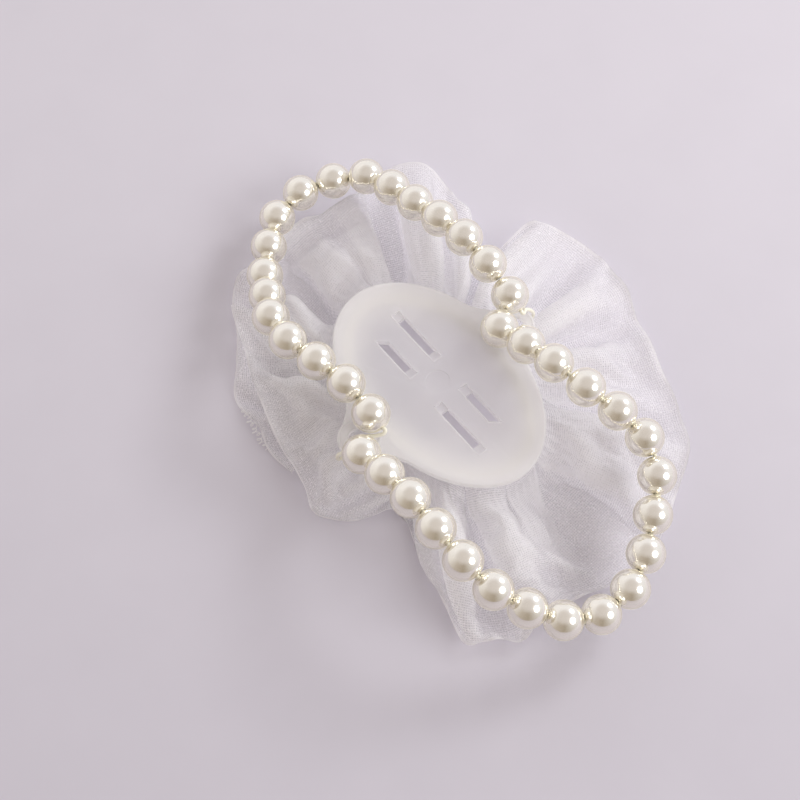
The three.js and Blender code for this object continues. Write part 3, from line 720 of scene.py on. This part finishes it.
# Plate
def arc(centre, radii, turns):
    """Points round a centre at turns in radians."""
    return [(centre[0] + radii[0] * math.cos(t), centre[1] + radii[1] * math.sin(t)) for t in turns]


def ellipse(radius_x, radius_y, steps):
    return arc((0, 0), (radius_x, radius_y), np.linspace(0, 2 * math.pi, steps, False))


def plate_outline():
    """Oval with an ear at each side, joined by fillets."""
    half_x, half_y, ear_y = PLATE_LENGTH / 2, PLATE_WIDTH / 2, EAR_SPACING / 2

    def fillet_centre(t):
        touch = Vector((half_x * math.cos(t), half_y * math.sin(t)))
        outward = Vector((math.cos(t) / half_x, math.sin(t) / half_y)).normalized()
        return touch + outward * EAR_FILLET

    low, high = 0.0, math.pi / 2
    for _ in range(FILLET_HALVINGS):
        middle = (low + high) / 2
        apart = (fillet_centre(middle) - Vector((0, ear_y))).length
        low, high = (middle, high) if apart > EAR_RADIUS + EAR_FILLET else (low, middle)
    centre = fillet_centre(low)
    whole = 2 * math.pi
    from_oval = math.atan2(half_y * math.sin(low) - centre.y, half_x * math.cos(low) - centre.x) % whole
    from_ear = math.atan2(ear_y - centre.y, -centre.x) % whole
    oval_turns = np.linspace(0, low, OVAL_STEPS, False)
    fillet_turns = np.linspace(from_oval, from_ear, FILLET_STEPS, False)
    ear_turns = np.linspace(from_ear - math.pi, math.pi / 2, EAR_STEPS)
    quarter = arc((0, 0), (half_x, half_y), oval_turns)
    quarter += arc(centre, (EAR_FILLET, EAR_FILLET), fillet_turns)
    quarter += arc((0, ear_y), (EAR_RADIUS, EAR_RADIUS), ear_turns)
    half = quarter + [(-x, y) for x, y in reversed(quarter[:-1])]
    return half + [(-x, -y) for x, y in half[1:-1]]


def slab(name, outlines, bottom, top, rounding):
    """Closed solid between two heights from an outline and its holes, with rounded edges."""
    curve = bpy.data.curves.new(name, "CURVE")
    curve.dimensions = "2D"
    curve.fill_mode = "BOTH"
    curve.extrude = ((top - bottom) / 2 - rounding) * MM
    curve.bevel_depth = rounding * MM
    curve.bevel_resolution = ROUND_STEPS
    curve.offset = -rounding * MM
    for outline in outlines:
        spline = curve.splines.new("POLY")
        spline.points.add(len(outline) - 1)
        spline.use_cyclic_u = True
        for knot, (x, y) in zip(spline.points, outline):
            knot.co = (x * MM, y * MM, 0, 1)
    carrier = add_object(name + "_outline", curve)
    mesh = evaluated_mesh(carrier)
    bpy.data.objects.remove(carrier)
    solid = bmesh.new()
    solid.from_mesh(mesh)
    bmesh.ops.remove_doubles(solid, verts=solid.verts, dist=WELD_METRES)
    bmesh.ops.recalc_face_normals(solid, faces=solid.faces)
    bmesh.ops.translate(solid, verts=solid.verts, vec=(0, 0, (top + bottom) / 2 * MM))
    solid.to_mesh(mesh)
    solid.free()
    return add_object(name, mesh)


def slot_outlines(length, y, slanted):
    """A slot's step and its through part, on the +X side."""
    slant = SLOT_WIDTH if slanted else 0.0
    low, high = y - SLOT_WIDTH / 2, y + SLOT_WIDTH / 2
    step_end = SLOT_START + length
    through_end = step_end if slanted else step_end - SLOT_STEP_LENGTH

    def corners(start, end):
        return [(start, low), (end - slant, low), (end, high), (start, high)]

    return corners(SLOT_START, step_end), corners(SLOT_START + SLOT_STEP_LENGTH, through_end)


def turned(outline):
    """The outline after half a turn about the plate's middle."""
    return [(-x, -y) for x, y in outline]


def dish_cutter(above):
    """Shallow dish whose sides slope gently from the rim to a flat floor."""
    levels = [(DISH_SLOPE[0][0], above)] + [(inset, PLATE_THICKNESS - depth) for inset, depth in DISH_SLOPE]
    points = []
    for inset, height in levels:
        ring = ellipse(PLATE_LENGTH / 2 - inset, PLATE_WIDTH / 2 - inset, DISH_STEPS)
        points += [(x, y, height) for x, y in ring]
    top = tuple(range(DISH_STEPS))
    floor = tuple(reversed(range(len(points) - DISH_STEPS, len(points))))
    faces = [top, floor] + quads(len(levels), DISH_STEPS, loop_columns=True)
    return mesh_piece("dish", points, faces, FINISH["plate"])


def widened(outline, margin):
    """Four-cornered outline moved out by a margin from its middle."""
    middle_x, middle_y = np.mean(outline, axis=0)
    return [(x + math.copysign(margin, x - middle_x), y + math.copysign(margin, y - middle_y))
            for x, y in outline]


def plate_changes():
    """Solids added to and cut from the slab, in order."""
    above = PLATE_THICKNESS + CUT_MARGIN
    gate = ellipse(GATE_RADIUS, GATE_RADIUS, GATE_STEPS)
    frames = []
    cuts = [slab("gate", [gate], DISH_FLOOR - GATE_DEPTH, above, GATE_ROUND)]
    for (length, y), slanted in ((LONG_SLOT, False), (SHORT_SLOT, True)):
        for turn in (list, turned):
            step, through = (turn(outline) for outline in slot_outlines(length, y, slanted))
            frame_outline = widened(step, FRAME_WIDTH)
            frame_root, frame_top = DISH_FLOOR - FRAME_ROOT, DISH_FLOOR + FRAME_HEIGHT
            frames.append(slab("frame", [frame_outline], frame_root, frame_top, FINE_ROUND))
            cuts.append(slab("step", [step], DISH_FLOOR - SLOT_STEP_DEPTH, above, FINE_ROUND))
            cuts.append(slab("slot", [through], -CUT_MARGIN, above, FINE_ROUND))
    changes = [(dish_cutter(above), "DIFFERENCE")]
    changes += [(added, "UNION") for added in frames]
    return changes + [(cut, "DIFFERENCE") for cut in cuts]


def add_plate():
    def ring(radius, side):
        return [(x, y + side * EAR_SPACING / 2) for x, y in ellipse(radius, radius, HOLE_STEPS)]

    holes = [ring(EAR_HOLE_RADIUS, side) for side in (-1, 1)]
    plate = slab("frosted_plate", [plate_outline()] + holes, PAD_HEIGHT, PLATE_THICKNESS, EDGE_ROUND)
    pad_outline = ellipse(PLATE_LENGTH / 2 - PAD_INSET, PLATE_WIDTH / 2 - PAD_INSET, PAD_STEPS)
    pad = slab("pad", [pad_outline], 0, PAD_HEIGHT + EDGE_ROUND, FINE_ROUND)
    lips = [slab("lip", [ring(EAR_RADIUS, side), ring(EAR_RADIUS - LIP_WIDTH, side)],
                 PLATE_THICKNESS / 2, PLATE_THICKNESS + LIP_HEIGHT, LIP_HEIGHT) for side in (-1, 1)]
    changes = [(added, "UNION") for added in [pad, *lips]] + plate_changes()
    for tool, operation in changes:
        change = plate.modifiers.new("change", "BOOLEAN")
        change.operation = operation
        change.solver = "EXACT"
        change.object = tool
    edge = plate.modifiers.new("moulded_edges", "BEVEL")
    edge.width = MOULD_EDGE * MM
    edge.segments = ROUND_STEPS
    edge.limit_method = "ANGLE"
    edge.angle_limit = math.radians(MOULD_EDGE_ANGLE)
    mesh = evaluated_mesh(plate)
    for waste in [plate] + [tool for tool, _ in changes]:
        bpy.data.objects.remove(waste)
    mesh.materials.clear()
    mesh.materials.append(FINISH["plate"])
    mesh.shade_smooth()
    mesh.set_sharp_from_angle(angle=math.radians(SHARP_ANGLE))
    fit(add_object("frosted_plate", mesh), "base", "plate", "base_plate")


# Ribbon
def smooth_columns(table, places):
    """Smooth values of a table's columns at places along its first column."""
    table = np.array(table, float)
    knots, values = table[:, 0], table[:, 1:]
    slopes = np.gradient(values, knots, axis=0)
    index = np.clip(np.searchsorted(knots, places) - 1, 0, len(knots) - 2)
    span = (knots[index + 1] - knots[index])[:, None]
    t = ((places - knots[index])[:, None]) / span
    ends = values[index], values[index + 1]
    leans = slopes[index] * span, slopes[index + 1] * span
    start = (1 + 2 * t) * (1 - t) ** 2 * ends[0] + t * (1 - t) ** 2 * leans[0]
    return start + t * t * (3 - 2 * t) * ends[1] - t * t * (1 - t) * leans[1]


def ripple(angle, count, phase):
    """Uneven wave with about count crests in a turn."""
    wander = sum(height * np.sin(waves * angle + shift * phase) for height, waves, shift in RIPPLE_WANDER)
    return np.sin(count * angle + wander + phase)


def run_length(path):
    """Length along a path up to each of its points."""
    return np.concatenate([[0], np.cumsum(np.linalg.norm(np.diff(path, axis=0), axis=1))])


def ease(value, low, high):
    """0 below low, 1 above high and a smooth rise between."""
    t = np.clip((value - low) / (high - low), 0, 1)
    return t * t * (3 - 2 * t)


def free_edge(turn):
    """Points of the ribbon's free edge at directions, and its swell and ridge there."""
    reach, lift, swell, ridge = smooth_columns(RIBBON_EDGE, turn).T
    angle = np.radians(turn)
    height = TABLE + np.maximum(lift, LEAST_LIFT)
    return np.stack([reach * np.cos(angle), reach * np.sin(angle), height], 1), swell, ridge


def even_turns():
    """Directions of the columns, evenly spaced along the free edge."""
    turn = np.linspace(RIBBON_EDGE[0][0], RIBBON_EDGE[-1][0], EDGE_SAMPLES)
    length = run_length(free_edge(turn)[0])
    return np.interp(np.linspace(0, length[-1], RIBBON_COLUMNS), length, turn)


def rough_folds():
    """Ribbon with even columns along its free edge and straight rows, and its swell half-way out."""
    even = even_turns()
    edge, swell, ridge = free_edge(even)
    angle = np.radians(even)
    along = np.arctan2(GATHER_X * np.sin(angle), GATHER_Y * np.cos(angle))
    lap = np.linspace(0, 1, RIBBON_COLUMNS)
    header = HEADER_HEIGHT - LAP_DROP * lap
    root = np.stack([GATHER_X * np.cos(along), GATHER_Y * np.sin(along), header], 1)
    v = np.linspace(0, 1, RIBBON_ROWS)[:, None]
    grid = root[None] + (edge - root)[None] * v[:, :, None]
    fine = GATHER_RIPPLE * np.exp(-5 * v) + CLOTH_RIPPLE * v * (1.15 - v)
    grid[:, :, 2] += swell * 4 * v * (1 - v)
    grid[:, :, 2] += ridge * v / RIDGE_PLACE * np.exp(1 - v / RIDGE_PLACE)
    grid[:, :, 2] += fine * ripple(angle, *CLOTH_WAVES) * ease(v, 0, 0.1)
    grid[:, :, 2] += EDGE_RIPPLE * v * v * ripple(angle, *EDGE_WAVES)
    return grid


def pull(grid, down, over, rest, share, open_only=False):
    """Moves points that lie down rows and over columns apart towards their rest length."""
    rows, columns = grid.shape[:2]
    first = grid[:rows - down, max(0, -over):columns - max(0, over)]
    second = grid[down:, max(0, over):columns + min(0, over)]
    apart = second - first
    length = np.linalg.norm(apart, axis=2, keepdims=True) + TINY
    stretch = length - rest
    if open_only:
        stretch = np.minimum(stretch, 0)
    move = share * stretch / length * apart
    first += move
    second -= move


def press_under(points):
    """Keeps the cloth on the table and out of the pearls, the plate and the elastic under its ears."""
    x, y, z = points[..., 0], points[..., 1], points[..., 2]
    under_plate = (x / (PLATE_LENGTH / 2)) ** 2 + (y / (PLATE_WIDTH / 2)) ** 2 < PLATE_SHELTER
    z[under_plate] = np.minimum(z[under_plate], -CLOTH_CLEARANCE)
    for side in (-1, 1):
        under_ear = x ** 2 + (y - side * EAR_SPACING / 2) ** 2 < (EAR_RADIUS + EAR_SHELTER) ** 2
        z[under_ear] = np.minimum(z[under_ear], UNDER_EAR - KNOT_RADIUS - CLOTH_CLEARANCE)
    reach = PEARL_RADIUS + CLOTH_CLEARANCE
    for centre in PEARL_CENTRES:
        flat = (x - centre[0]) ** 2 + (y - centre[1]) ** 2
        under = flat < reach ** 2
        z[under] = np.minimum(z[under], centre[2] - np.sqrt(reach ** 2 - flat[under]))
    np.maximum(z, TABLE + TABLE_CLEARANCE, out=z)


def settled_ribbon():
    """Ribbon settled from its rough folds: threads keep their length and bends open."""
    grid = rough_folds()
    start = grid.copy()
    rows, columns = grid.shape[:2]
    v = np.linspace(0, 1, rows)
    edge_step = RIBBON_LENGTH / (columns - 1)
    root_step = np.linalg.norm(np.diff(grid[0], axis=0), axis=1)
    mix = ease(v, 0, 0.5)[:, None]
    along = (root_step[None] * (1 - mix) + edge_step * mix)[:, :, None]
    radial = np.linalg.norm(np.diff(grid, axis=0), axis=2).sum(axis=0)
    wide = np.minimum(RIBBON_WIDTH - HEADER_WIDTH, radial * ROW_SLACK)
    across = np.broadcast_to((wide / (rows - 1))[None, :, None], (rows - 1, columns, 1))
    slope = np.sqrt(along[1:] ** 2 + across[:, 1:] ** 2)
    for step in range(SETTLE_STEPS):
        grid[:, :, 2] -= SAG
        pull(grid, 0, 1, along, THREAD_PULL)
        pull(grid, 1, 0, across, THREAD_PULL)
        pull(grid, 1, 1, slope, SLOPE_PULL)
        pull(grid, 1, -1, slope, SLOPE_PULL)
        pull(grid, 0, BEND_COLUMNS, BEND_COLUMNS * along[:, :1 - BEND_COLUMNS], COLUMN_BEND_PULL, True)
        pull(grid, BEND_ROWS, 0, BEND_ROWS * across[:1 - BEND_ROWS], ROW_BEND_PULL, True)
        grid[-1, :, :2] += EDGE_HOLD * (start[-1, :, :2] - grid[-1, :, :2])
        grid[-1, :, 2] += EDGE_LIFT_HOLD * (start[-1, :, 2] - grid[-1, :, 2])
        grid[:2] = start[:2]
        if step % PRESS_EVERY == 0:
            press_under(grid)
    return grid


def finer(grid, times, axis):
    """Grid with more points along an axis, on smooth curves through the old ones."""
    grid = np.moveaxis(grid, axis, 0)
    count = len(grid)
    places = np.linspace(0, count - 1, (count - 1) * times + 1)
    table = np.concatenate([np.arange(count)[:, None], grid.reshape(count, -1)], axis=1)
    fine = smooth_columns(table, places).reshape((len(places),) + grid.shape[1:])
    return np.moveaxis(fine, 0, axis)


def crease(grid):
    """Presses valleys between the petals and fine pleats at the gather, and gives the cloth's layers."""
    rows, columns = grid.shape[:2]
    turn = np.interp(np.arange(columns), np.linspace(0, columns - 1, RIBBON_COLUMNS), even_turns())
    v = np.linspace(0, 1, rows)[:, None]
    outer = ease(v, 0.5, 1)
    gathered = ease(v, 0.02, 0.2) * (1 - ease(v, 0.4, 0.9))
    layers = np.ones((rows, columns)) + CREST_LAYERS * gathered
    spread = VALLEY_ROOT + (1 - VALLEY_ROOT) * ease(v, 0, 0.7)
    for angle, half_width, depth in RIBBON_CREASES:
        away = np.abs(turn - angle) / (half_width * spread)
        grid[:, :, 2] -= depth * np.maximum(0, 1 - away) * ease(v, 0.04, 0.2) * (1 - 0.6 * outer)
        shown = (1 - 0.7 * outer) * min(1.0, depth / DEEP_VALLEY)
        layers -= VALLEY_THINNING * ease(1 - away, -0.05, 0.2) * shown
        layers += CREST_LAYERS * np.exp(-((away - CREST_PLACE) / CREST_SPREAD) ** 2) * shown
    angle = np.radians(turn)
    folds, small_folds = (np.abs(ripple(angle, *waves)) for waves in (PLEAT_WAVES, SMALL_PLEAT_WAVES))
    pleat = 1 - 2 * folds + 0.6 * small_folds
    near = ease(v, 0.03, 0.15) * np.exp(-2.2 * v)
    grid[:, :, 2] += PLEAT_HEIGHT * pleat * near
    return layers + PLEAT_LAYERS * pleat * near


def add_ribbon():
    grid = finer(finer(settled_ribbon(), COLUMN_SPLITS, 1), ROW_SPLITS, 0)
    rows, columns = grid.shape[:2]
    layers = crease(grid)
    press_under(grid)
    ribbon = mesh_piece("organza_ribbon", grid.reshape(-1, 3), quads(rows, columns), FINISH["organza"])
    along = np.linspace(0, RIBBON_LENGTH, columns)
    across = np.linspace(HEADER_WIDTH, RIBBON_WIDTH, rows)
    layer = ribbon.data.uv_layers.new(name="Ribbon")
    corners = np.empty(len(ribbon.data.loops), int)
    ribbon.data.loops.foreach_get("vertex_index", corners)
    uv = np.stack([along[corners % columns], across[corners // columns]], 1)
    layer.data.foreach_set("uv", uv.astype(np.float32).ravel())
    layering = ribbon.data.attributes.new("Layers", "FLOAT", "POINT")
    layering.data.foreach_set("value", layers.astype(np.float32).ravel())
    fit(ribbon, "base", "organza", "organza_ruffle")


# Glue and thread under the plate
def add_glue():
    low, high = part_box("glue_band")
    middle = (low.z + high.z) / 2 / MM
    half_height = (high.z - low.z) / 2 / MM
    points = []
    for i in range(GLUE_STEPS):
        turn = 2 * math.pi * i / GLUE_STEPS
        lump = 1 - GLUE_LUMPS + GLUE_LUMPS * ripple(turn, *GLUE_WAVES) * ripple(turn, *SLOW_GLUE_WAVES)
        for k in range(GLUE_SIDES):
            side = 2 * math.pi * k / GLUE_SIDES
            inset = HEADER_WIDTH / 2 * (1 - lump * math.cos(side))
            x = (GATHER_X - inset) * math.cos(turn)
            y = (GATHER_Y - inset) * math.sin(turn)
            points.append((x, y, middle + half_height * lump * math.sin(side)))
    faces = quads(GLUE_STEPS, GLUE_SIDES, loop_rows=True, loop_columns=True)
    fit(mesh_piece("glue_bead", points, faces, FINISH["glue"]), "base", "glue", "glue_band")


def add_gathering_thread():
    low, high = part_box("gathering_thread")
    middle = (low.z + high.z) / 2 / MM
    thread_radius = (high.z - low.z) / 2 / MM * STITCH_SLIMNESS
    steps = STITCHES * STITCH_STEPS
    path = []
    for i in range(steps):
        turn = 2 * math.pi * i / steps
        weave = STITCH_RISE * math.cos(2 * math.pi * i / STITCH_STEPS)
        path.append(((GATHER_X - HEADER_WIDTH / 2) * math.cos(turn),
                     (GATHER_Y - HEADER_WIDTH / 2) * math.sin(turn), middle + weave))
    piece = swept("running_stitches", path, thread_radius, cord_tree(), FINISH["thread"])
    fit(piece, "base", "thread", "gathering_thread")


def add_fray():
    """Crimped thread that hangs out of the ribbon's cut end."""
    start, end = Vector(FRAY_START), Vector(FRAY_END)
    run = (end - start).normalized()
    across = run.cross(Vector((0, 0, 1)))
    steps = FRAY_LOOP_STEPS * FRAY_LOOPS
    path = []
    for i in range(steps + 1):
        turn = 2 * math.pi * FRAY_LOOPS * i / steps
        sway = math.sin(turn) + FRAY_DRIFT * math.sin(FRAY_DRIFT_PACE * turn)
        slip = FRAY_SLIP * math.cos(turn)
        rise = FRAY_RISE * math.sin(FRAY_RISE_PACE * turn)
        crimp = across * sway + run * slip + Vector((0, 0, rise))
        path.append(start.lerp(end, i / steps) + crimp * FRAY_WIDTH)
    fit(swept("frayed_thread", path, FRAY_RADIUS, cord_tree(), FINISH["thread"]), "base", "thread")


# Studio
def add_table():
    half = TABLE_HALF_METRES
    mesh = bpy.data.meshes.new("table")
    corners = [(-half, -half), (half, -half), (half, half), (-half, half)]
    mesh.from_pydata([(x, y, TABLE * MM) for x, y in corners], [], [(0, 1, 2, 3)])
    mesh.materials.append(pale_table())
    add_object("table", mesh)


def add_softbox(name, azimuth, elevation, size, radiance):
    """Round area lamp that faces the object; azimuth runs from +X to +Y."""
    turn, rise = math.radians(azimuth), math.radians(elevation)
    away = Vector((math.cos(turn) * math.cos(rise), math.sin(turn) * math.cos(rise), math.sin(rise)))
    lamp = bpy.data.lights.new(name, "AREA")
    lamp.shape = "ELLIPSE"
    lamp.size = size
    lamp.size_y = size
    lamp.energy = radiance * math.pi * (math.pi * size * size / 4)
    holder = add_object(name, lamp)
    holder.location = away * LAMP_METRES
    holder.rotation_euler = away.to_track_quat("Z", "Y").to_euler()


def add_camera():
    camera = bpy.data.cameras.new("camera")
    camera.lens = CAMERA_LENS
    camera.sensor_width = CAMERA_SENSOR
    holder = add_object("camera", camera)
    holder.location = Vector(CAMERA_PLACE) * MM
    holder.rotation_euler = Vector(CAMERA_AIM).to_track_quat("-Z", "Y").to_euler()
    bpy.context.scene.camera = holder


def room_light():
    """Room with a pale far and left side, dark and brown behind the viewer."""
    world = bpy.data.worlds.new("room")
    world.use_nodes = True
    graph = Graph(world.node_tree)
    x, y, z = graph.axes(graph.node("ShaderNodeTexCoord", out="Generated"))
    first = ROOM_TONES[0][0]
    turn = graph.math("ARCTAN2", y, x) / (2 * math.pi) + (1 - first / 360)
    stops = [((azimuth - first) / 360, rgb(*tone)) for azimuth, tone in ROOM_TONES]
    sides = graph.ramp(graph.math("FRACT", turn), stops)
    colour = graph.mix(z.step(*CEILING_EDGE), sides, rgb(*ROOM_CEILING))
    graph.feed(world.node_tree.nodes["Background"], {"Color": colour, "Strength": ROOM_LEVEL})
    return world


def add_studio():
    add_table()
    for lamp in LAMPS:
        add_softbox(*lamp)
    bpy.context.scene.world = room_light()
    bpy.context.scene.view_settings.view_transform = "Standard"


add_camera()
add_studio()
add_plate()
add_ribbon()
add_glue()
add_gathering_thread()
add_fray()
add_pearls()
add_elastic()
